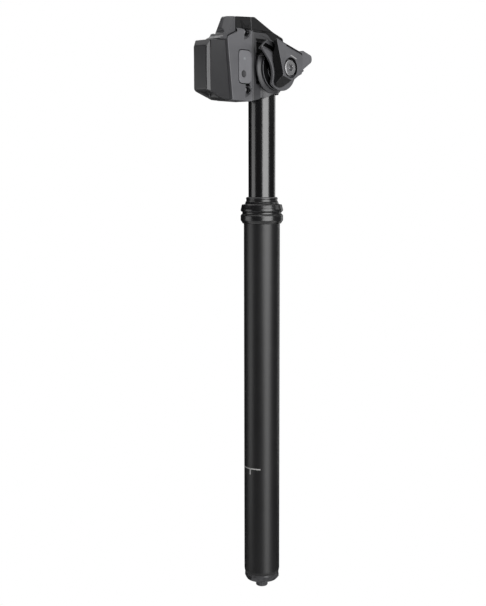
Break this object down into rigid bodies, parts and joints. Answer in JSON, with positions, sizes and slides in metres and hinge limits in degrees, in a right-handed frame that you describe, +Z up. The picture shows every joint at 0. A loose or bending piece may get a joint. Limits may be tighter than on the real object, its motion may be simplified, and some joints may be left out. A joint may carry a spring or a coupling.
{
  "type": "dropper seatpost",
  "caption": "Telescoping wireless bicycle dropper seatpost: tube in tube with collar and wiper, side-clamp saddle head, rear control unit with button, plug-in battery and latch.",
  "frame": {"origin": "on the post axis at the underside of the collar, where the post enters the seat tube", "axes": "+Z up along the post towards the saddle, +X forwards, +Y to the rider's left"},
  "size_m": [0.0884, 0.06, 0.4329],
  "materials": {
    "lower_tube_black": "matte black anodised",
    "upper_tube_black": "polished black anodised",
    "collar_black": "satin black anodised",
    "head_black": "satin black painted forging",
    "clamp_black": "satin black anodised",
    "housing_black": "fine-textured moulding",
    "battery_black": "fine-textured moulding",
    "plate_grey": "satin moulding",
    "button_black": "soft touch",
    "light_lens": "clear lens",
    "seal_rubber": "smooth",
    "bumper_rubber": "matte",
    "bushing_polymer": "self-lubricating polymer",
    "key_brass": "machined",
    "cap_alloy": "black anodised",
    "bare_alloy": "machined",
    "shaft_steel": "ground",
    "screw_steel": "black oxide",
    "bolt_steel": "black oxide",
    "motor_steel": "plated",
    "board_green": "solder mask",
    "contact_gold": "gold plated",
    "cell_wrap": "shrink wrap"
  },
  "bodies": {
    "lower_post": {"lower_tube": "lower_tube_black", "collar": "collar_black", "wiper_seal": "seal_rubber", "upper_bushing": "bushing_polymer", "end_cap": "cap_alloy", "end_cap_o_ring": "seal_rubber", "valve_core": "key_brass", "damper_shaft": "shaft_steel", "main_piston": "bare_alloy", "piston_glide_ring": "bushing_polymer", "topout_bumper": "bumper_rubber"},
    "valve_cap": {"valve_cap": "button_black"},
    "upper_post": {"upper_tube": "upper_tube_black", "guide_keys": "key_brass", "lower_bushing": "bushing_polymer", "seal_head": "bare_alloy", "shaft_seal": "seal_rubber", "damper_tube": "bare_alloy", "valve_body": "bare_alloy", "head_forging": "head_black", "housing_gasket": "seal_rubber", "control_housing": "housing_black", "housing_screws": "screw_steel", "motor": "motor_steel", "gearbox": "motor_steel", "circuit_board": "board_green", "button_switch": "button_black", "button_plate": "plate_grey", "status_light": "light_lens", "dock_contacts": "contact_gold", "latch_pin": "shaft_steel"},
    "floating_piston": {"floating_piston": "bare_alloy", "floating_piston_seals": "seal_rubber"},
    "poppet": {"poppet": "shaft_steel"},
    "cam_shaft": {"cam_shaft": "shaft_steel"},
    "battery": {"battery_case": "battery_black", "battery_cell": "cell_wrap", "battery_contacts": "contact_gold"},
    "battery_latch": {"battery_latch": "housing_black"},
    "button": {"button": "button_black"},
    "saddle_clamp": {"inner_clamp_right": "clamp_black", "inner_clamp_left": "clamp_black", "outer_clamp_left": "clamp_black", "clamp_nut": "bolt_steel"},
    "right_clamp": {"outer_clamp_right": "clamp_black"},
    "clamp_bolt": {"clamp_bolt": "bolt_steel"}
  },
  "joints": [
    {"name": "post_slide", "type": "slide", "parent": "lower_post", "child": "upper_post", "axis": [0, 0, 1], "range_m": [-0.075, 0], "stiffness_N_per_m": 800, "springref_m": 0.1},
    {"name": "floating_piston_slide", "type": "slide", "parent": "upper_post", "child": "floating_piston", "axis": [0, 0, 1], "range_m": [-0.0485, 0]},
    {"name": "cam_turn", "type": "hinge", "parent": "upper_post", "child": "cam_shaft", "pos_m": [0, 0, 0.1064], "axis": [1, 0, 0], "range_deg": [0, 180]},
    {"name": "poppet_slide", "type": "slide", "parent": "upper_post", "child": "poppet", "axis": [0, 0, -1], "range_m": [0, 0.0012]},
    {"name": "battery_slide", "type": "slide", "parent": "upper_post", "child": "battery", "axis": [-0.9933, 0, -0.1156], "range_m": [0, 0.03]},
    {"name": "latch_hinge", "type": "hinge", "parent": "upper_post", "child": "battery_latch", "pos_m": [-0.0373, 0, 0.1467], "axis": [0, 1, 0], "range_deg": [0, 70]},
    {"name": "button_press", "type": "slide", "parent": "upper_post", "child": "button", "axis": [0, 1, 0], "range_m": [0, 0.0006], "stiffness_N_per_m": 1500},
    {"name": "clamp_tilt", "type": "hinge", "parent": "upper_post", "child": "saddle_clamp", "pos_m": [-0.0022, 0, 0.1132], "axis": [0, 1, 0], "range_deg": [-15, 15]},
    {"name": "right_clamp_slide", "type": "slide", "parent": "saddle_clamp", "child": "right_clamp", "axis": [0, -1, 0], "range_m": [0, 0.004]},
    {"name": "clamp_bolt_turn", "type": "hinge", "parent": "right_clamp", "child": "clamp_bolt", "pos_m": [-0.0022, 0, 0.1132], "axis": [0, -1, 0], "range_deg": [0, 1440]},
    {"name": "valve_cap_pull", "type": "slide", "parent": "lower_post", "child": "valve_cap", "axis": [0, 0, -1], "range_m": [0, 0.012]}
  ],
  "couplings": [
    {"joint": "floating_piston_slide", "follows": "post_slide", "ratio": 0.63775},
    {"joint": "cam_turn", "follows": "poppet_slide", "rad_per_m": 2618},
    {"joint": "clamp_bolt_turn", "follows": "right_clamp_slide", "rad_per_m": 6283.2}
  ]
}
